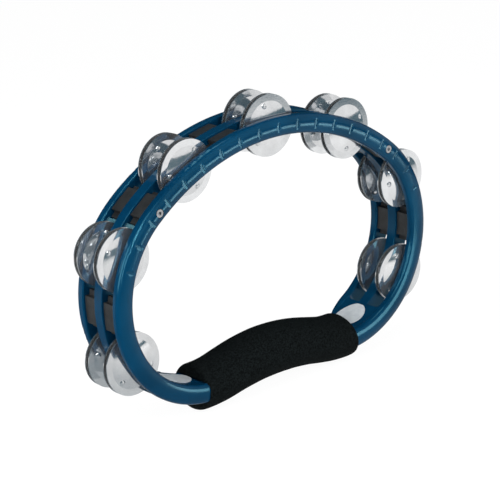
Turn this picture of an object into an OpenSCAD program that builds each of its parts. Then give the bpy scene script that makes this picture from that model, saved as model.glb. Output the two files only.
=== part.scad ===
/* [Frame outline] */
// Radius of the frame's centreline over the top
top_r = 149.5; // [120:0.5:220]
// Half of the angle that the top arc turns through
top_half_angle = 39.5; // [30:0.5:48]
// Radius of the centreline at each side
side_r = 68; // [55:1:85]
// Angle that each side arc turns through
side_angle = 82; // [74:0.5:92]
// Radius of the lower corners
corner_r = 63; // [50:1:76]
// Angle by which each end of the handle dips below its middle
dip_angle = 15; // [10:0.5:20]

/* [Frame section] */
// Radial width of the front and rear rings
rail_w = 12; // [9:0.5:15]
// Thickness of the front ring along the hoop's axis
front_t = 6.2; // [5.6:0.1:9]
// Thickness of the middle rail
middle_t = 7.4; // [5.6:0.1:9]
// Thickness of the rear ring
rear_t = 6; // [5.5:0.5:9]
// Clear height of each row of jingles
row_gap = 10.2; // [9.6:0.1:14]
// Radius of the crowned front face
crown_r = 11; // [9:0.5:30]
// Rounding of the front ring's front edges
front_round = 3; // [1.5:0.1:3.4]
// Rounding of the other rail edges
rail_round = 1; // [0.4:0.1:1.6]
// Step from the rings in to the middle rail and the end walls, on each side
wall_inset = 0.4; // [0.2:0.1:1]
// Distance along the centreline from the top to the end wall of the slots
wall_start = 230; // [226:1:238]
// Fillet in the corner of each slot end
slot_fillet = 4; // [1:0.5:5]
// Height by which the frame's rear comes forward at the handle
handle_step = 10.5; // [8:0.5:11]
// Length of the taper from the wall to the handle
handle_taper = 29; // [24:1:40]

/* [Scraper grooves] */
// Number of cross grooves on the front face
groove_count = 19; // [9:2:21]
// Spacing of the grooves along the centreline
groove_pitch = 15.3; // [12:0.1:18]
// Width of a groove
groove_w = 1.4; // [0.6:0.1:2]
// Depth of a groove below the front face
groove_depth = 0.5; // [0.3:0.1:1]
// Depth of the dished ease on either side of a groove
groove_ease = 0.2; // [0.1:0.05:0.3]
// Radius of that ease
groove_ease_r = 10; // [4:1:16]

/* [Jingles] */
// Spacing of the jingle stations along the centreline
station_pitch = 66.3; // [64:0.1:68]
// Diameter of a jingle
jingle_d = 38; // [34:0.5:40]
// Thickness of the jingle sheet
jingle_t = 0.6; // [0.4:0.1:0.8]
// Width of the flat rim of a jingle
jingle_rim = 4; // [3:0.1:5]
// Height of the dome above the rim
dome_h = 2; // [1:0.1:2.4]
// Diameter of each pressed dimple
dimple_d = 3.4; // [2.4:0.1:4.2]
// Height of each dimple above the dome
dimple_h = 0.7; // [0.4:0.1:0.9]
// Number of dimples on a jingle
dimple_count = 3; // [2:1:4]
// Distance from the jingle's rim to the dimple's middle
dimple_from_rim = 6.2; // [5.5:0.1:8]
// Space between the two rims of a pair at rest
pair_gap = 2.6; // [1.2:0.1:3]
// Largest lean of a pair that hangs loose on its pin
jingle_lean = 2; // [0:0.1:2.5]

/* [Pins] */
// Diameter of a jingle pin
pin_d = 3; // [2.4:0.1:3.4]
// Depth of the blind pin sockets in the rings
pin_socket = 4; // [3:0.1:4.6]
// Radial clearance of a pin in its sockets
pin_clear = 0.05; // [0.02:0.01:0.09]
// Radial clearance of a jingle on its pin
jingle_clear = 0.5; // [0.4:0.05:0.8]
// Clearance at blind ends
end_clear = 0.3; // [0.2:0.05:0.5]

/* [Spacers] */
// Length of a spacer along the centreline
spacer_len = 23; // [20:0.5:24]
// Length of its raised face
spacer_face = 16; // [12:0.5:18]
// Set-back of its ends from that face
spacer_step = 3; // [1:0.1:3]
// Set-back of a spacer from the outer face of the rails
spacer_recess = 1.4; // [0.5:0.1:2.5]
// Diameter of the locating pegs
peg_d = 3; // [2:0.1:4]
// Length of a locating peg
peg_len = 2; // [1:0.1:2.2]
// Radial clearance of a peg in its socket
peg_clear = 0.05; // [0.02:0.01:0.15]

/* [Fasteners] */
// Diameter of a fastener's shank
screw_d = 2.6; // [2:0.1:3]
// Diameter of its head
head_d = 4.8; // [4:0.1:5.2]
// Height of its head
head_h = 2; // [1.5:0.1:2.4]
// Diameter of the recess in the head
drive_d = 2.2; // [1.6:0.1:2.6]
// Depth of the recess in the head
drive_depth = 1.2; // [0.6:0.1:1.3]
// Radial clearance of the head in its counterbore
head_clear = 0.3; // [0.1:0.05:0.4]
// Depth of the head below the front face
head_sink = 0.3; // [0:0.1:0.8]
// Radial clearance of the shank
screw_clear = 0.05; // [0.02:0.01:0.15]
// Depth of the shank in the rear ring
screw_hold = 4.4; // [3:0.1:4.8]

/* [Grip] */
// Length of the foam sleeve along the centreline
grip_len = 127; // [100:1:130]
// Depth of the sleeve along the hoop's axis
grip_depth = 36.5; // [34.5:0.5:40]
// Thickness of the sleeve from the hand side to the palm side
grip_thick = 29.2; // [28:0.1:36]
// Radius of the sleeve's narrow front and back sides
grip_side_r = 11; // [10:0.5:13]
// Thickness of the sleeve over the frame's front face
grip_cover = 1.6; // [1.5:0.1:3]
// Clearance between the sleeve and the handle bar
grip_clear = 0.3; // [0.1:0.05:0.5]
// Depth of the flats that the sleeve stands on
foot_flat = 0.5; // [0.2:0.1:1]

/* [Labels] */
// Length of a blank oval label along the centreline
label_len = 24; // [16:0.5:25]
// Width of a label along the hoop's axis
label_wide = 19.5; // [12:0.5:21]
// Thickness of a label
label_t = 0.3; // [0.2:0.05:0.5]
// Radius of a label's narrow ends
label_end_r = 8; // [4:0.5:9]
// Distance from the slot end to the label's middle
label_offset = 15; // [14:0.5:17]

/* [Hidden] */
$fn = 96;

// Colours
frame_blue = [0.04, 0.30, 0.52];
spacer_black = [0.13, 0.12, 0.12];
foam_black = [0.06, 0.07, 0.07];
jingle_silver = [0.80, 0.82, 0.84];
steel = [0.70, 0.71, 0.72];
label_pale = [0.86, 0.88, 0.90];

// Levels along the hoop's axis, with the middle of the depth at 0 and the front above
depth = rear_t + row_gap + middle_t + row_gap + front_t;
rear_face = -depth / 2;
rear_top = rear_face + rear_t;
middle_low = rear_top + row_gap;
middle_top = middle_low + middle_t;
front_low = middle_top + row_gap;
front_face = depth / 2;
rear_row = rear_top + row_gap / 2;
front_row = middle_top + row_gap / 2;
wall_w = rail_w - 2 * wall_inset;
spacer_w = wall_w - 2 * spacer_recess;

// Headings of the centreline, clockwise from the level top
heading_1 = top_half_angle;
heading_2 = top_half_angle + side_angle;
heading_3 = 180 + dip_angle;

// Centres of the arcs, first from the top arc's own centre
function outward(h) = [sin(h), cos(h)];
side_from_top = (top_r - side_r) * outward(heading_1);
corner_from_top = side_from_top + (side_r - corner_r) * outward(heading_2);
lift = grip_thick / 2 - foot_flat + corner_r - corner_from_top[1];
top_c = [0, lift];
side_c = top_c + side_from_top;
corner_c = top_c + corner_from_top;
corner_end = corner_c + corner_r * outward(heading_3);
handle_r = corner_end[0] / sin(dip_angle);
handle_c = [0, corner_end[1] - handle_r * cos(dip_angle)];
handle_rear = rear_face + handle_step;
grip_level = front_face + grip_cover - grip_depth / 2;

// Lengths of the arcs along the centreline
top_len = top_r * heading_1 * PI / 180;
side_len = side_r * side_angle * PI / 180;
corner_len = corner_r * (heading_3 - heading_2) * PI / 180;
handle_len = handle_r * dip_angle * PI / 180;
half_len = top_len + side_len + corner_len + handle_len;
loop_len = 2 * half_len;
corner_at = top_len + side_len;
handle_at = corner_at + corner_len;

// The whole loop as arcs: start, end, centre, radius, first heading, turning sense, thinning.
// Every other arc is thinner by a hair and laps into its neighbours, so the arcs join as one solid.
seam = 0.02;
lap = 1;
function flip(p) = [-p[0], p[1]];
arcs = [
    [-top_len, top_len, top_c, top_r, -heading_1, 1, 0],
    [top_len, corner_at, side_c, side_r, heading_1, 1, seam],
    [corner_at, handle_at, corner_c, corner_r, heading_2, 1, 0],
    [handle_at, loop_len - handle_at, handle_c, handle_r, 180 + dip_angle, -1, seam],
    [loop_len - handle_at, loop_len - corner_at, flip(corner_c), corner_r, 180 - dip_angle, 1, 0],
    [loop_len - corner_at, loop_len - top_len, flip(side_c), side_r, 360 - heading_2, 1, seam]
];

// Heading and place on the centreline at a distance from the top, clockwise
function turned(a, u) = a[4] + a[5] * (u - a[0]) / a[3] * 180 / PI;
function wrapped(u) = u < -top_len ? u + loop_len : u;
function arc_of(u) = [for (a = arcs) if (u >= a[0] && u <= a[1]) a][0];
function heading_at(u) = turned(arc_of(wrapped(u)), wrapped(u));
function place_at(u) =
    let (a = arc_of(wrapped(u)))
    a[2] + a[5] * a[3] * outward(turned(a, wrapped(u)));
function station_at(n) = (n - 4) * station_pitch;

// Sizes of the jingle's dome and dimples
dome_base_r = jingle_d / 2 - jingle_rim;
dome_r = (dome_base_r * dome_base_r + dome_h * dome_h) / (2 * dome_h);
dome_c = jingle_t + dome_h - dome_r;
hole_r = pin_d / 2 + jingle_clear;
dimple_at = jingle_d / 2 - dimple_from_rim;
dimple_tilt = asin(dimple_at / dome_r);
dimple_r = (dimple_d * dimple_d / 4 + dimple_h * dimple_h) / (2 * dimple_h);

// Turns that set the loose discs apart from each other
station_turn = 40;
row_turn = 65;
pair_turn = 30;
lean_turn = 100;
lean_row_turn = 150;
far = 400;

// Stands the flat hoop upright, with its front to -Y
module upright() {
    rotate([90, 0, 0]) children();
}

// Local frame on the centreline: x along it, y outward, z to the front
module along(u) {
    p = place_at(u);
    translate([p[0], p[1], 0]) rotate([0, 0, -heading_at(u)]) children();
}

// Carries a section along the centreline: x outward, y to the front
module sweep(from, to, over = 0) {
    for (shift = [-loop_len, 0, loop_len])
        for (a = arcs) {
            reach = a[6] > 0 ? lap : over;
            low = max(from, a[0] + shift - reach);
            high = min(to, a[1] + shift + reach);
            $thin = a[6];
            if (high > low + 2 * lap) {
                h_low = turned(a, low - shift);
                h_high = turned(a, high - shift);
                translate([a[2][0], a[2][1], 0])
                    if (a[5] > 0)
                        rotate([0, 0, 90 - h_high])
                            rotate_extrude(angle = h_high - h_low)
                                translate([a[3], 0]) children();
                    else
                        rotate([0, 0, 270 - h_low])
                            rotate_extrude(angle = h_low - h_high)
                                translate([a[3], 0]) mirror([1, 0]) children();
            }
        }
}

// Carries a section a short way either side of one place, on the arc found there,
// or of a place shifted along that arc
module bend(u, length, shift = 0) {
    a = arc_of(wrapped(u));
    turn = length / a[3] * 180 / PI;
    middle = heading_at(u) + shift / a[3] * 180 / PI;
    translate([a[2][0], a[2][1], 0])
        rotate([0, 0, 90 - middle - turn / 2])
            rotate_extrude(angle = turn)
                translate([a[3], 0]) children();
}

module whole_loop() {
    sweep(-top_len, loop_len - top_len + lap) children();
}

// Plain section, thinned where its arc is
module bar_section(left, low, w, h) {
    translate([left + $thin, low + $thin]) square([w - 2 * $thin, h - 2 * $thin]);
}

// Section of a rail from one level to another with rounded corners
module rail_section(full_w, full_low, full_high, r_low, r_high) {
    w = full_w - 2 * $thin;
    low = full_low + $thin;
    high = full_high - $thin;
    translate([-w / 2, low + r_low]) square([w, high - low - r_low - r_high]);
    translate([-w / 2 + r_low, low]) square([w - 2 * r_low, (high - low) / 2]);
    translate([-w / 2 + r_high, (low + high) / 2]) square([w - 2 * r_high, (high - low) / 2]);
    for (s = [-1, 1]) {
        translate([s * (w / 2 - r_low), low + r_low]) circle(r_low);
        translate([s * (w / 2 - r_high), high - r_high]) circle(r_high);
    }
}

// Section of the front ring: a crowned face that runs into rounded edges
module crown_section(full_w, full_low, full_high, r_low, edge_r, face_r) {
    w = full_w - 2 * $thin;
    low = full_low + $thin;
    high = full_high - $thin;
    side = w / 2 - edge_r;
    rise = sqrt((face_r - edge_r) * (face_r - edge_r) - side * side);
    edge_level = high - face_r + rise;
    meet = side * face_r / (face_r - edge_r);
    translate([-w / 2, low + r_low]) square([w, edge_level - low - r_low]);
    translate([-w / 2 + r_low, low]) square([w - 2 * r_low, edge_level - low]);
    for (s = [-1, 1]) {
        translate([s * (w / 2 - r_low), low + r_low]) circle(r_low);
        intersection() {
            translate([s * side, edge_level]) circle(edge_r);
            translate([-w, edge_level - edge_r / 4]) square([2 * w, 2 * edge_r]);
        }
    }
    intersection() {
        translate([0, high - face_r]) circle(face_r, $fn = 192);
        translate([-meet, edge_level - edge_r / 8]) square([2 * meet, face_r]);
    }
}

// Oval of four tangent arcs, long along x
module oval(half_long, half_short, end_r) {
    reach = half_long - end_r;
    flat_r = (reach * reach + half_short * half_short - end_r * end_r) / (2 * (half_short - end_r));
    meet = reach * flat_r / (flat_r - end_r);
    intersection() {
        translate([0, half_short - flat_r]) circle(flat_r, $fn = 192);
        translate([0, flat_r - half_short]) circle(flat_r, $fn = 192);
        translate([-meet, -half_short]) square([2 * meet, 2 * half_short]);
    }
    for (s = [-1, 1])
        translate([s * reach, 0]) circle(end_r);
}

// A round hole or rod along the hoop's axis at a distance from the top
module rod(u, r, low, high) {
    along(u) translate([0, 0, low]) cylinder(r = r, h = high - low);
}

// Solid wall beside and under the grip, with a fillet at each slot end
module end_wall(low, high, ring_level, ring_side) {
    sweep(wall_start, loop_len - wall_start, lap / 2)
        bar_section(-wall_w / 2, low, wall_w, high - low);
    for (side = [0, 1])
        mirror([side, 0, 0])
            along(wall_start)
                translate([0, 0, ring_level])
                    mirror([0, 0, ring_side])
                        rotate([90, 0, 0])
                            linear_extrude(height = wall_w - 2 * wall_inset, center = true)
                                difference() {
                                    translate([-slot_fillet, -wall_inset])
                                        square([slot_fillet + wall_inset, slot_fillet + wall_inset]);
                                    translate([-slot_fillet, slot_fillet]) circle(slot_fillet);
                                }
}

// The fasteners pass through the second bay from each end, and spacers with pegs stand in the others
bays = [1:6];
function has_screw(g) = g % 3 == 2;
peg_bays = [for (g = bays) if (!has_screw(g)) g];
screw_bays = [for (g = bays) if (has_screw(g)) g];
function bay_at(g) = station_at(g + 0.5);

module peg_sockets(level, toward) {
    for (g = peg_bays)
        rod(bay_at(g), peg_d / 2 + peg_clear,
            toward > 0 ? level - lap : level - peg_len - end_clear,
            toward > 0 ? level + peg_len + end_clear : level + lap);
}

module pin_sockets(low, high) {
    for (n = [1:7])
        rod(station_at(n), pin_d / 2 + pin_clear, low, high);
}

module screw_holes(low, high) {
    for (g = screw_bays)
        rod(bay_at(g), screw_d / 2 + screw_clear, low, high);
}

module grooves() {
    for (i = [0:groove_count - 1])
        along((i - (groove_count - 1) / 2) * groove_pitch)
            translate([0, 0, front_face]) {
                translate([-groove_w / 2, -rail_w, -groove_depth]) cube([groove_w, 2 * rail_w, front_t]);
                translate([0, rail_w, groove_ease_r - groove_ease])
                    rotate([90, 0, 0]) cylinder(r = groove_ease_r, h = 2 * rail_w);
            }
}

// Room behind the handle, where the frame's rear curves forward to the bar under the sleeve
module handle_room() {
    bar_x = place_at(half_len - grip_len / 2)[0] + 2 * lap;
    start_x = bar_x + handle_taper;
    bow_r = (handle_taper * handle_taper + handle_step * handle_step) / (2 * handle_step);
    translate([0, corner_c[1], 0])
        rotate([90, 0, 0])
            linear_extrude(height = far) {
                translate([-bar_x, -far]) square([2 * bar_x, far + handle_rear]);
                for (s = [0, 1])
                    mirror([s, 0])
                        difference() {
                            translate([bar_x - lap, -far]) square([handle_taper + lap, far + handle_rear]);
                            translate([start_x, rear_face + bow_r]) circle(bow_r, $fn = 192);
                        }
            }
}

module front_frame() {
    color(frame_blue)
        upright()
            difference() {
                union() {
                    whole_loop()
                        crown_section(rail_w, front_low, front_face, rail_round, front_round, crown_r);
                    end_wall(middle_top, front_low + rail_round + wall_inset, front_low, 1);
                }
                pin_sockets(front_low - row_gap / 2, front_low + pin_socket);
                peg_sockets(front_low, 1);
                screw_holes(front_low - row_gap / 2, far);
                for (g = screw_bays)
                    rod(bay_at(g), head_d / 2 + head_clear, front_face - head_h - head_sink, far);
                grooves();
            }
}

module middle_frame() {
    color(frame_blue)
        upright()
            difference() {
                whole_loop()
                    rail_section(wall_w, middle_low, middle_top, rail_round / 2, rail_round / 2);
                pin_sockets(middle_low - row_gap / 2, middle_top + row_gap / 2);
                peg_sockets(middle_low, 1);
                peg_sockets(middle_top, -1);
                screw_holes(middle_low - row_gap / 2, middle_top + row_gap / 2);
            }
}

module rear_frame() {
    color(frame_blue)
        upright()
            difference() {
                union() {
                    whole_loop()
                        rail_section(rail_w, rear_face, rear_top, rail_round * 2, rail_round);
                    end_wall(rear_top - rail_round - wall_inset, middle_low, rear_top, 0);
                }
                pin_sockets(rear_top - pin_socket, rear_top + row_gap / 2);
                peg_sockets(rear_top, -1);
                screw_holes(rear_top - screw_hold - end_clear, rear_top + row_gap / 2);
                handle_room();
            }
}

module spacer(g, low, high) {
    u = bay_at(g);
    notch = (spacer_len - spacer_face) / 2 + lap;
    pegged = !has_screw(g);
    color(spacer_black)
        upright()
            difference() {
                union() {
                    bend(u, spacer_len)
                        translate([-spacer_w / 2, low]) square([spacer_w, high - low]);
                    if (pegged)
                        rod(u, peg_d / 2, low - peg_len, high + peg_len);
                }
                for (end = [-1, 1], side = [-1, 1])
                    bend(u, notch, end * (spacer_face + notch) / 2)
                        translate([side > 0 ? spacer_w / 2 - spacer_step : -spacer_w, low - lap])
                            square([spacer_w / 2 + spacer_step, high - low + 2 * lap]);
                if (!pegged)
                    rod(u, screw_d / 2 + screw_clear, low - row_gap, high + row_gap);
            }
}

module front_spacer(g) {
    spacer(g, middle_top, front_low);
}

module rear_spacer(g) {
    spacer(g, rear_top, middle_low);
}

module frame_screws() {
    head_top = front_face - head_sink;
    color(steel)
        upright()
            for (g = screw_bays)
                difference() {
                    union() {
                        rod(bay_at(g), screw_d / 2, rear_top - screw_hold, head_top - head_h / 2);
                        rod(bay_at(g), head_d / 2, head_top - head_h, head_top);
                    }
                    rod(bay_at(g), drive_d / 2, head_top - drive_depth, far);
                }
}

module pin(n) {
    color(steel)
        upright()
            rod(station_at(n), pin_d / 2,
                rear_top - pin_socket + end_clear, front_low + pin_socket - end_clear);
}

// Even places round the dome, square to its surface
module dimples() {
    for (i = [0:dimple_count - 1])
        rotate([0, 0, 90 + i * 360 / dimple_count])
            translate([0, 0, dome_c])
                rotate([0, dimple_tilt, 0])
                    translate([0, 0, dome_r + dimple_h - dimple_r]) children();
}

// One pressed disc, rim at 0 and dome upward
module disc() {
    difference() {
        union() {
            rotate_extrude() {
                translate([dome_base_r - jingle_t, 0])
                    square([jingle_rim + jingle_t, jingle_t]);
                intersection() {
                    translate([0, dome_c])
                        difference() {
                            circle(dome_r, $fn = 192);
                            circle(dome_r - jingle_t, $fn = 192);
                        }
                    translate([hole_r, 0]) square([dome_base_r - hole_r, jingle_t + 2 * dome_h]);
                }
            }
            dimples()
                intersection() {
                    sphere(dimple_r);
                    translate([0, 0, dimple_r - dimple_h - jingle_t / 2])
                        cylinder(r = dimple_r, h = dimple_r);
                }
        }
        dimples() sphere(dimple_r - jingle_t);
    }
}

// A jingle of a station: side 1 has its dome to the front, side -1 to the rear
module jingle(n, row_level, row, side) {
    p = place_at(station_at(n));
    tip = lean_turn * n + lean_row_turn * row;
    color(jingle_silver)
        upright()
            translate([p[0], p[1], row_level])
                rotate([jingle_lean * sin(tip), jingle_lean * cos(tip), 0])
                    mirror([0, 0, side > 0 ? 0 : 1])
                        translate([0, 0, pair_gap / 2])
                            rotate([0, 0, station_turn * n + row_turn * row + pair_turn * side]) disc();
}

module front_jingle(n, side) {
    jingle(n, front_row, 1, side);
}

module rear_jingle(n, side) {
    jingle(n, rear_row, 0, side);
}

module foam_grip() {
    color(foam_black)
        upright()
            difference() {
                sweep(half_len - grip_len / 2, half_len + grip_len / 2)
                    translate([0, grip_level])
                        rotate(90)
                            oval(grip_depth / 2 - $thin, grip_thick / 2 - $thin, grip_side_r - $thin);
                sweep(half_len - grip_len / 2 - lap, half_len + grip_len / 2 + lap)
                    crown_section(rail_w + 2 * grip_clear, handle_rear - grip_clear, front_face + grip_clear,
                        grip_clear, front_round + grip_clear, crown_r + grip_clear);
                translate([-far, -far, -far]) cube([2 * far, far, 2 * far]);
            }
}

// Blank oval label on the inner face of the wall
module label(side) {
    u = wall_start + label_offset;
    level = (rear_top + front_low) / 2;
    color(label_pale)
        upright()
            mirror([side, 0, 0])
                intersection() {
                    bend(u, label_len + 2 * lap)
                        translate([-wall_w / 2 - label_t, level - label_wide / 2 - lap])
                            square([label_t, label_wide + 2 * lap]);
                    along(u)
                        translate([0, -wall_w / 2, level])
                            rotate([90, 0, 0])
                                linear_extrude(height = rail_w, center = true)
                                    oval(label_len / 2, label_wide / 2, label_end_r);
                }
}

module label_left() {
    label(1);
}

module label_right() {
    label(0);
}

front_frame();
middle_frame();
rear_frame();
foam_grip();
label_left();
label_right();
frame_screws();
front_spacer(1);  // spacer_12_front
front_spacer(2);  // spacer_23_front
front_spacer(3);  // spacer_34_front
front_spacer(4);  // spacer_45_front
front_spacer(5);  // spacer_56_front
front_spacer(6);  // spacer_67_front
rear_spacer(1);  // spacer_12_rear
rear_spacer(2);  // spacer_23_rear
rear_spacer(3);  // spacer_34_rear
rear_spacer(4);  // spacer_45_rear
rear_spacer(5);  // spacer_56_rear
rear_spacer(6);  // spacer_67_rear
pin(1);  // pin_1
pin(2);  // pin_2
pin(3);  // pin_3
pin(4);  // pin_4
pin(5);  // pin_5
pin(6);  // pin_6
pin(7);  // pin_7
front_jingle(1, 1);  // jingle_1_front_a
front_jingle(1, -1);  // jingle_1_front_b
rear_jingle(1, 1);  // jingle_1_rear_a
rear_jingle(1, -1);  // jingle_1_rear_b
front_jingle(2, 1);  // jingle_2_front_a
front_jingle(2, -1);  // jingle_2_front_b
rear_jingle(2, 1);  // jingle_2_rear_a
rear_jingle(2, -1);  // jingle_2_rear_b
front_jingle(3, 1);  // jingle_3_front_a
front_jingle(3, -1);  // jingle_3_front_b
rear_jingle(3, 1);  // jingle_3_rear_a
rear_jingle(3, -1);  // jingle_3_rear_b
front_jingle(4, 1);  // jingle_4_front_a
front_jingle(4, -1);  // jingle_4_front_b
rear_jingle(4, 1);  // jingle_4_rear_a
rear_jingle(4, -1);  // jingle_4_rear_b
front_jingle(5, 1);  // jingle_5_front_a
front_jingle(5, -1);  // jingle_5_front_b
rear_jingle(5, 1);  // jingle_5_rear_a
rear_jingle(5, -1);  // jingle_5_rear_b
front_jingle(6, 1);  // jingle_6_front_a
front_jingle(6, -1);  // jingle_6_front_b
rear_jingle(6, 1);  // jingle_6_rear_a
rear_jingle(6, -1);  // jingle_6_rear_b
front_jingle(7, 1);  // jingle_7_front_a
front_jingle(7, -1);  // jingle_7_front_b
rear_jingle(7, 1);  // jingle_7_rear_a
rear_jingle(7, -1);  // jingle_7_rear_b
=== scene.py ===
import math

import bpy
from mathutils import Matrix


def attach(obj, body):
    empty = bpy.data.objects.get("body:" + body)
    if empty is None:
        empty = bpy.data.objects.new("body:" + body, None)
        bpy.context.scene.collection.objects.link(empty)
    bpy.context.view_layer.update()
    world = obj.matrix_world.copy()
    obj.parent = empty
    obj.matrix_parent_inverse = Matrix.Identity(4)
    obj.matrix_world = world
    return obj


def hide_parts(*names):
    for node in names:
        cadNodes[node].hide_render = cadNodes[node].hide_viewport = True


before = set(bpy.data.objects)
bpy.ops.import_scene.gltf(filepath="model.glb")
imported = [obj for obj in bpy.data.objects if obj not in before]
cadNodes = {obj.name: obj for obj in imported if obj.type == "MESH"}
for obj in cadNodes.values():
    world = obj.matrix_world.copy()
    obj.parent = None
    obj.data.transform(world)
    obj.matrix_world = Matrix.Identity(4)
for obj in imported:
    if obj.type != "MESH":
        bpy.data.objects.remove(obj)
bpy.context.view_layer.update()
print("frame loaded:", len(cadNodes), "nodes")

scene = bpy.context.scene
scene.view_settings.view_transform = "Standard"


def deselectAll():
    if bpy.context.mode != "OBJECT":
        bpy.ops.object.mode_set(mode="OBJECT")
    bpy.ops.object.select_all(action="DESELECT")


def selectOnly(piece):
    deselectAll()
    piece.select_set(True)
    bpy.context.view_layer.objects.active = piece


def takeObject(name):
    piece = bpy.context.active_object
    piece.name = name
    piece.data.name = name
    return piece


def useModifiers(piece):
    selectOnly(piece)
    for modifier in list(piece.modifiers):
        bpy.ops.object.modifier_apply(modifier=modifier.name)


def startMaterial(name):
    material = bpy.data.materials.new(name)
    material.use_nodes = True
    tree = material.node_tree
    shader = tree.nodes["Principled BSDF"]
    place = tree.nodes.new("ShaderNodeTexCoord").outputs["Object"]
    return material, tree, shader, place


def addNoise(tree, place, scale, detail, roughness=0.5):
    noise = tree.nodes.new("ShaderNodeTexNoise")
    noise.inputs["Scale"].default_value = scale
    noise.inputs["Detail"].default_value = detail
    noise.inputs["Roughness"].default_value = roughness
    tree.links.new(place, noise.inputs["Vector"])
    return noise.outputs["Fac"]


def addRange(tree, value, low, high, fromLow=0.3, fromHigh=0.7):
    spread = tree.nodes.new("ShaderNodeMapRange")
    spread.inputs["From Min"].default_value = fromLow
    spread.inputs["From Max"].default_value = fromHigh
    spread.inputs["To Min"].default_value = low
    spread.inputs["To Max"].default_value = high
    tree.links.new(value, spread.inputs["Value"])
    return spread.outputs["Result"]


def addTwoColours(tree, value, darker, paler, low=0.35, high=0.65):
    ramp = tree.nodes.new("ShaderNodeValToRGB")
    ramp.color_ramp.elements[0].position = low
    ramp.color_ramp.elements[0].color = (*darker, 1)
    ramp.color_ramp.elements[1].position = high
    ramp.color_ramp.elements[1].color = (*paler, 1)
    tree.links.new(value, ramp.inputs["Fac"])
    return ramp.outputs["Color"]


def addBump(tree, shader, height, strength, distance, under=None):
    bump = tree.nodes.new("ShaderNodeBump")
    bump.inputs["Strength"].default_value = strength
    bump.inputs["Distance"].default_value = distance
    tree.links.new(height, bump.inputs["Height"])
    if under is not None:
        tree.links.new(under, bump.inputs["Normal"])
    tree.links.new(bump.outputs["Normal"], shader.inputs["Normal"])
    return bump.outputs["Normal"]


def setShader(shader, settings):
    for socket, value in settings.items():
        shader.inputs[socket].default_value = value


def makeHardSurface(name, look):
    # two clouded tones, an uneven gloss and, where the look has one, a fine grain
    # each noise is given as its scale and detail
    material, tree, shader, place = startMaterial(name)
    cloud = addNoise(tree, place, *look["cloud"])
    tone = addTwoColours(tree, cloud, look["darker"], look["paler"])
    tree.links.new(tone, shader.inputs["Base Color"])
    sheen = addNoise(tree, place, *look["sheen"])
    tree.links.new(addRange(tree, sheen, *look["gloss"]), shader.inputs["Roughness"])
    if "grain" in look:
        addBump(tree, shader, addNoise(tree, place, *look["grain"]), *look["grainBump"])
    setShader(shader, look["shader"])
    return material


# glossy blue moulding of the three rails
blueLook = {
    "darker": (0.0004, 0.026, 0.066), "paler": (0.0009, 0.037, 0.090), "cloud": (38, 3),
    "gloss": (0.14, 0.21), "sheen": (160, 4), "grain": (950, 2), "grainBump": (0.10, 0.0002),
    "shader": {"Specular IOR Level": 0.30, "Specular Tint": (0.25, 0.85, 1.0, 1)},
}
bluePlastic = makeHardSurface("bluePlastic", blueLook)

# black moulding of the spacers
spacerLook = {
    "darker": (0.016, 0.016, 0.016), "paler": (0.026, 0.026, 0.026), "cloud": (120, 4),
    "gloss": (0.36, 0.50), "sheen": (420, 3), "grain": (1400, 3), "grainBump": (0.2, 0.0002),
    "shader": {},
}
blackPlastic = makeHardSurface("blackPlastic", spacerLook)

# bright pressed sheet of the jingles
jingleLook = {
    "darker": (0.80, 0.81, 0.82), "paler": (0.90, 0.91, 0.92), "cloud": (90, 3),
    "gloss": (0.06, 0.12), "sheen": (260, 4), "grain": (700, 2), "grainBump": (0.06, 0.0002),
    "shader": {"Metallic": 0.92},
}
jingleMetal = makeHardSurface("jingleMetal", jingleLook)

# plain steel of the pins and fasteners
steelLook = {
    "darker": (0.50, 0.50, 0.51), "paler": (0.68, 0.68, 0.69), "cloud": (500, 3),
    "gloss": (0.22, 0.38), "sheen": (900, 3),
    "shader": {"Metallic": 1.0},
}
fastenerSteel = makeHardSurface("fastenerSteel", steelLook)

# blank oval labels
labelLook = {
    "darker": (0.56, 0.60, 0.63), "paler": (0.66, 0.70, 0.72), "cloud": (300, 3),
    "gloss": (0.28, 0.42), "sheen": (800, 3),
    "shader": {},
}
labelPaper = makeHardSurface("labelPaper", labelLook)

# fine-grained black foam
foamLook = {
    "darker": (0.0010, 0.0016, 0.0016), "paler": (0.0085, 0.0115, 0.0120), "gloss": (0.82, 0.98),
    "grain": (1000, 3, 0.6), "grainBump": (0.55, 0.0004), "dents": (240, 3), "dentBump": (0.25, 0.0006),
    "shader": {"Specular IOR Level": 0.06},
}


def makeFoam():
    material, tree, shader, place = startMaterial("blackFoam")
    grain = addNoise(tree, place, *foamLook["grain"])
    tone = addTwoColours(tree, grain, foamLook["darker"], foamLook["paler"])
    tree.links.new(tone, shader.inputs["Base Color"])
    tree.links.new(addRange(tree, grain, *foamLook["gloss"]), shader.inputs["Roughness"])
    dents = addBump(tree, shader, addNoise(tree, place, *foamLook["dents"]), *foamLook["dentBump"])
    addBump(tree, shader, grain, *foamLook["grainBump"], under=dents)
    setShader(shader, foamLook["shader"])
    return material


blackFoam = makeFoam()

# how the names of the nodes start, and what each is made of
blueRails = ("front_frame", "middle_frame", "rear_frame")
nodeLooks = {
    **dict.fromkeys(blueRails, bluePlastic), "spacer": blackPlastic, "jingle": jingleMetal,
    "label": labelPaper, "pin": fastenerSteel, "frame_screws": fastenerSteel,
}


def dressNodes():
    for name, node in cadNodes.items():
        for start, material in nodeLooks.items():
            if name.startswith(start):
                node.data.materials.clear()
                node.data.materials.append(material)


dressNodes()
print("nodes dressed")

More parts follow.
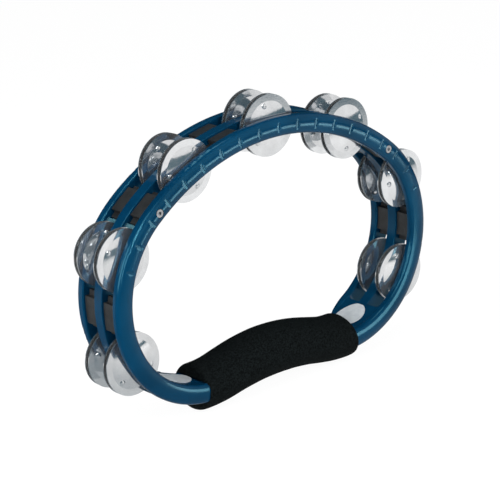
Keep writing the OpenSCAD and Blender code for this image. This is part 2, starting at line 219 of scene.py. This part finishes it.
# foam sleeve along the handle: the hoop's two lower corners and the inward arch between them
# metres, and degrees for the turns
foamSleeve = {
    "cornerX": 0.0561036, "cornerZ": 0.0771, "cornerRadius": 0.063,  # arc of the lower right corner
    "cornerTurn": 21.13,  # how much of that arc the foam covers
    "archZ": -0.13228, "dip": 15.0,  # centre of the arch, and half of its turn
    "middleY": -0.00335, "middleZ": 0.02149, "halfDepth": 0.0181, "endThick": 0.0143,
    "swell": 1.11, "swellReach": 0.052, "swellCore": 0.003,  # fuller in its middle
    "endRound": 0.0030, "endInset": 0.004, "waves": 0.0004, "waveSize": 0.018,
    "sides": 40, "cornerSteps": 4, "archSteps": 10, "roundSteps": 4, "finer": 2,
    "mergeGap": 0.00001, "smoothTurn": 40.0,
}
# room inside the sleeve for the handle bar, a little longer than the foam
foamBore = {
    "thick": 0.0126, "frontY": -0.0203, "rearY": 0.0098, "round": 0.0045, "roundSteps": 6,
    "overrun": 4.0,
}


def placeAcross(overrun=0.0):
    # place and turn of a section square to the path at the sleeve's right end
    f = foamSleeve
    turn = math.radians(f["dip"] - f["cornerTurn"] - overrun)
    x = f["cornerX"] - f["cornerRadius"] * math.sin(turn)
    z = f["cornerZ"] - f["cornerRadius"] * math.cos(turn)
    return (x, 0, z), (0, math.pi / 2 + turn, 0)


def spinAbout(x, z, turn, steps):
    bpy.ops.mesh.spin(steps=steps, angle=turn, center=(x, 0, z), axis=(0, -1, 0))


def spinAlongHandle(overrun=0.0):
    f = foamSleeve
    cornerTurn = math.radians(f["cornerTurn"] + overrun)
    archTurn = math.radians(2 * f["dip"])
    bpy.ops.mesh.select_all(action="SELECT")
    spinAbout(f["cornerX"], f["cornerZ"], cornerTurn, f["cornerSteps"])
    spinAbout(0, f["archZ"], -archTurn, f["archSteps"])
    spinAbout(-f["cornerX"], f["cornerZ"], cornerTurn, f["cornerSteps"])
    bpy.ops.mesh.select_all(action="SELECT")
    bpy.ops.mesh.remove_doubles(threshold=f["mergeGap"])


def closeEnds():
    bpy.ops.mesh.select_all(action="DESELECT")
    bpy.ops.mesh.select_non_manifold(extend=False)
    bpy.ops.mesh.edge_face_add()


def selectEnds():
    bpy.ops.mesh.select_all(action="DESELECT")
    bpy.ops.mesh.select_face_by_sides(number=foamSleeve["sides"], type="EQUAL")


def selectMiddle(piece, reach):
    bpy.ops.mesh.select_all(action="DESELECT")
    bpy.ops.object.mode_set(mode="OBJECT")
    for corner in piece.data.vertices:
        corner.select = abs(corner.co.x) < reach
    bpy.ops.object.mode_set(mode="EDIT")


def turnFacesOut():
    bpy.ops.mesh.select_all(action="SELECT")
    bpy.ops.mesh.normals_make_consistent(inside=False)
    bpy.ops.object.mode_set(mode="OBJECT")


def makeBoreCutter():
    b = foamBore
    location, rotation = placeAcross(b["overrun"])
    location = (location[0], (b["frontY"] + b["rearY"]) / 2, location[2])
    deselectAll()
    bpy.ops.mesh.primitive_plane_add(size=1.0, location=location, rotation=rotation)
    cutter = takeObject("boreCutter")
    cutter.scale = (b["thick"], b["rearY"] - b["frontY"], 1)
    bpy.ops.object.transform_apply(location=True, rotation=True, scale=True)
    # only the two front corners are rounded
    for corner in cutter.data.vertices:
        corner.select = corner.co.y < location[1]
    bpy.ops.object.mode_set(mode="EDIT")
    bpy.ops.mesh.bevel(offset=b["round"], segments=b["roundSteps"], affect="VERTICES")
    bpy.ops.mesh.select_all(action="SELECT")
    bpy.ops.mesh.delete(type="ONLY_FACE")
    spinAlongHandle(b["overrun"])
    closeEnds()
    turnFacesOut()
    return cutter


def sweepSleeve():
    f = foamSleeve
    location, rotation = placeAcross()
    location = (location[0], f["middleY"], location[2])
    deselectAll()
    bpy.ops.mesh.primitive_circle_add(
        vertices=f["sides"], radius=1.0, fill_type="NOTHING", location=location, rotation=rotation)
    sleeve = takeObject("foamSleeve")
    sleeve.scale = (f["endThick"], f["halfDepth"], 1)
    bpy.ops.object.transform_apply(location=True, rotation=True, scale=True)
    bpy.ops.object.mode_set(mode="EDIT")
    spinAlongHandle()
    closeEnds()
    selectEnds()
    bpy.ops.mesh.region_to_loop()
    bpy.ops.mesh.bevel(offset=f["endRound"], segments=f["roundSteps"], affect="EDGES")
    selectEnds()
    bpy.ops.mesh.inset(thickness=f["endInset"], use_individual=True)
    selectMiddle(sleeve, f["swellCore"])
    bpy.ops.transform.resize(
        value=(1, 1, f["swell"]), center_override=(0, 0, f["middleZ"]), use_proportional_edit=True,
        proportional_edit_falloff="SMOOTH", proportional_size=f["swellReach"])
    turnFacesOut()
    return sleeve


def softenSleeve(sleeve):
    finer = sleeve.modifiers.new("finer", "SUBSURF")
    finer.levels = finer.render_levels = foamSleeve["finer"]
    waves = bpy.data.textures.new("foamWaves", "CLOUDS")
    waves.noise_scale = foamSleeve["waveSize"]
    uneven = sleeve.modifiers.new("uneven", "DISPLACE")
    uneven.texture = waves
    uneven.strength = foamSleeve["waves"]
    uneven.texture_coords = "LOCAL"
    useModifiers(sleeve)


def cutFootFlats(sleeve):
    selectOnly(sleeve)
    bpy.ops.object.mode_set(mode="EDIT")
    bpy.ops.mesh.select_all(action="SELECT")
    bpy.ops.mesh.bisect(plane_co=(0, 0, 0), plane_no=(0, 0, 1), use_fill=True, clear_inner=True)
    bpy.ops.object.mode_set(mode="OBJECT")


def cutBore(sleeve):
    cutter = makeBoreCutter()
    bore = sleeve.modifiers.new("bore", "BOOLEAN")
    bore.object = cutter
    bore.operation = "DIFFERENCE"
    bore.solver = "EXACT"
    useModifiers(sleeve)
    bpy.data.objects.remove(cutter, do_unlink=True)


def makeFoamSleeve():
    sleeve = sweepSleeve()
    softenSleeve(sleeve)
    cutFootFlats(sleeve)
    cutBore(sleeve)
    selectOnly(sleeve)
    bpy.ops.object.shade_smooth_by_angle(angle=math.radians(foamSleeve["smoothTurn"]))
    return sleeve


sleeve = makeFoamSleeve()
sleeve.data.materials.append(blackFoam)
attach(sleeve, "frame")
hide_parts("foam_grip")
print("foam sleeve made:", len(sleeve.data.polygons), "faces")


def rayMix(tree, plain, mirrored, white, share):
    # plain for soft light, mirrored in reflections, white straight behind the part
    path = tree.nodes.new("ShaderNodeLightPath")
    first = tree.nodes.new("ShaderNodeMixShader")
    tree.links.new(path.outputs["Is Glossy Ray"], first.inputs["Fac"])
    tree.links.new(plain, first.inputs[1])
    tree.links.new(mirrored, first.inputs[2])
    part = tree.nodes.new("ShaderNodeMath")
    part.operation = "MULTIPLY"
    part.inputs[1].default_value = share
    tree.links.new(path.outputs["Is Camera Ray"], part.inputs[0])
    second = tree.nodes.new("ShaderNodeMixShader")
    tree.links.new(part.outputs[0], second.inputs["Fac"])
    tree.links.new(first.outputs[0], second.inputs[1])
    tree.links.new(white, second.inputs[2])
    return second.outputs[0]


# pale floor, and what the discs mirror of it: bright places before and behind the part
# each spot is given as its centre and size
floorLook = {
    "size": 12.0, "colour": (0.90, 0.90, 0.90), "roughness": 0.9, "white": 1.06, "whiteShare": 0.90,
    "far": (0.030, 0.085, 0.115), "near": (0.74, 0.74, 0.74), "nearEdge": (0.0, 0.5),
    "frontSpot": ((0.27, -0.28), (0.62, 0.52)), "rearSpot": ((0.0, 0.50), (0.90, 0.46)),
    "brightSpot": ((0.29, -0.33), (0.34, 0.26)), "brightGain": 1.3,
}


def addSpot(tree, place, centre, size):
    # 1 in the middle of an oval on the floor, 0 at its edge
    mapping = tree.nodes.new("ShaderNodeMapping")
    mapping.vector_type = "TEXTURE"
    mapping.inputs["Location"].default_value = (*centre, 0)
    mapping.inputs["Scale"].default_value = (*size, 1)
    tree.links.new(place, mapping.inputs["Vector"])
    spot = tree.nodes.new("ShaderNodeTexGradient")
    spot.gradient_type = "SPHERICAL"
    tree.links.new(mapping.outputs["Vector"], spot.inputs["Vector"])
    return spot.outputs["Fac"]


def makeFloor():
    f = floorLook
    deselectAll()
    bpy.ops.mesh.primitive_plane_add(size=f["size"], location=(0, 0, 0))
    floor = takeObject("studioFloor")
    material, tree, shader, place = startMaterial("paleFloor")
    shader.inputs["Base Color"].default_value = (*f["colour"], 1)
    shader.inputs["Roughness"].default_value = f["roughness"]
    white = tree.nodes.new("ShaderNodeEmission")
    white.inputs["Strength"].default_value = f["white"]
    mirrored = tree.nodes.new("ShaderNodeEmission")
    near = tree.nodes.new("ShaderNodeMath")
    near.operation = "MAXIMUM"
    tree.links.new(addSpot(tree, place, *f["frontSpot"]), near.inputs[0])
    tree.links.new(addSpot(tree, place, *f["rearSpot"]), near.inputs[1])
    ground = addTwoColours(tree, near.outputs[0], f["far"], f["near"], *f["nearEdge"])
    tree.links.new(ground, mirrored.inputs["Color"])
    bright = addSpot(tree, place, *f["brightSpot"])
    gain = addRange(tree, bright, 1.0, f["brightGain"], fromLow=0.0, fromHigh=1.0)
    tree.links.new(gain, mirrored.inputs["Strength"])
    surface = rayMix(
        tree, shader.outputs[0], mirrored.outputs[0], white.outputs[0], f["whiteShare"])
    tree.links.new(surface, tree.nodes["Material Output"].inputs["Surface"])
    floor.data.materials.append(material)


# soft light all round, and a mirrored room that glows towards the front right
roomLook = {
    "soft": (0.97, 0.98, 1.0), "softStrength": 0.30, "back": (0.015, 0.055, 0.080),
    "front": (0.78, 0.78, 0.78), "glowWay": (0.70, -0.71, 0.0), "glowEdge": (0.35, 0.85),
}


def makeWorld():
    r = roomLook
    world = bpy.data.worlds.new("studioWorld")
    scene.world = world
    world.use_nodes = True
    tree = world.node_tree
    soft = tree.nodes["Background"]
    soft.inputs["Color"].default_value = (*r["soft"], 1)
    soft.inputs["Strength"].default_value = r["softStrength"]
    white = tree.nodes.new("ShaderNodeBackground")
    white.inputs["Color"].default_value = (1, 1, 1, 1)
    mirrored = tree.nodes.new("ShaderNodeBackground")
    near = tree.nodes.new("ShaderNodeVectorMath")
    near.operation = "DOT_PRODUCT"
    near.inputs[1].default_value = r["glowWay"]
    way = tree.nodes.new("ShaderNodeTexCoord").outputs["Generated"]
    tree.links.new(way, near.inputs[0])
    glow = addTwoColours(tree, near.outputs["Value"], r["back"], r["front"], *r["glowEdge"])
    tree.links.new(glow, mirrored.inputs["Color"])
    surface = rayMix(tree, soft.outputs[0], mirrored.outputs[0], white.outputs[0], 1.0)
    tree.links.new(surface, tree.nodes["World Output"].inputs["Surface"])


# place, aim, size and watts of each lamp
# a soft lamp makes no reflection, and a gloss lamp makes one on the blue rails alone
partMiddle = (0, 0, 0.1)
frontBox = {"place": (0.10, -1.14, 0.55), "aim": partMiddle, "size": (0.45, 0.9), "watts": 8}
lamps = {
    "keySoftbox": {"place": (-0.62, -0.58, 0.98), "aim": partMiddle, "size": (0.5, 0.5), "watts": 3},
    "topSoftbox": {"place": (0.05, -0.10, 1.35), "aim": partMiddle, "size": (0.45, 0.45), "watts": 3.5},
    "frontSoftbox": {**frontBox, "kind": "soft"},
    "frontGloss": {**frontBox, "kind": "gloss"},
    "edgeGloss": {"place": (-0.62, -0.66, 0.45), "aim": (-0.1, 0, 0.12), "size": (0.12, 0.75),
                  "watts": 6, "kind": "gloss"},
    "leftSoftbox": {"place": (-1.05, -0.10, 0.42), "aim": partMiddle, "size": (0.6, 0.6), "watts": 8},
    "stripGloss": {"place": (0.27, -0.31, 0.035), "aim": (0.34, 0, 0.12), "size": (0.40, 0.06),
                   "watts": 0.7, "kind": "gloss"},
}


def collectRails():
    rails = bpy.data.collections.new("blueRings")
    for name in blueRails:
        rails.objects.link(cadNodes[name])
    return rails


def addLamp(name, setting, rails):
    deselectAll()
    bpy.ops.object.light_add(type="AREA", location=setting["place"])
    lamp = bpy.context.active_object
    lamp.name = name
    lamp.data.shape = "RECTANGLE"
    lamp.data.size, lamp.data.size_y = setting["size"]
    lamp.data.energy = setting["watts"]
    x, y, z = [stand - aim for stand, aim in zip(setting["place"], setting["aim"])]
    lamp.rotation_euler = (math.atan2(math.hypot(x, y), z), 0, math.atan2(x, -y))
    kind = setting.get("kind")
    if kind == "soft":
        lamp.visible_glossy = False
    if kind == "gloss":
        lamp.visible_camera = False
        lamp.visible_diffuse = False
        lamp.light_linking.receiver_collection = rails


photoCamera = {
    "location": (-0.6804, -0.7814, 0.4278), "turn": (71.728, 2.062, -41.341), "lens": 127.74,
    "sensor": 36,
}


def makeCamera():
    deselectAll()
    turn = [math.radians(angle) for angle in photoCamera["turn"]]
    bpy.ops.object.camera_add(location=photoCamera["location"], rotation=turn)
    camera = bpy.context.active_object
    camera.name = "photoCamera"
    camera.data.lens = photoCamera["lens"]
    camera.data.sensor_width = photoCamera["sensor"]
    scene.camera = camera


makeFloor()
makeWorld()
glossRails = collectRails()
for lampName, lampSetting in lamps.items():
    addLamp(lampName, lampSetting, glossRails)
makeCamera()
print("studio set")
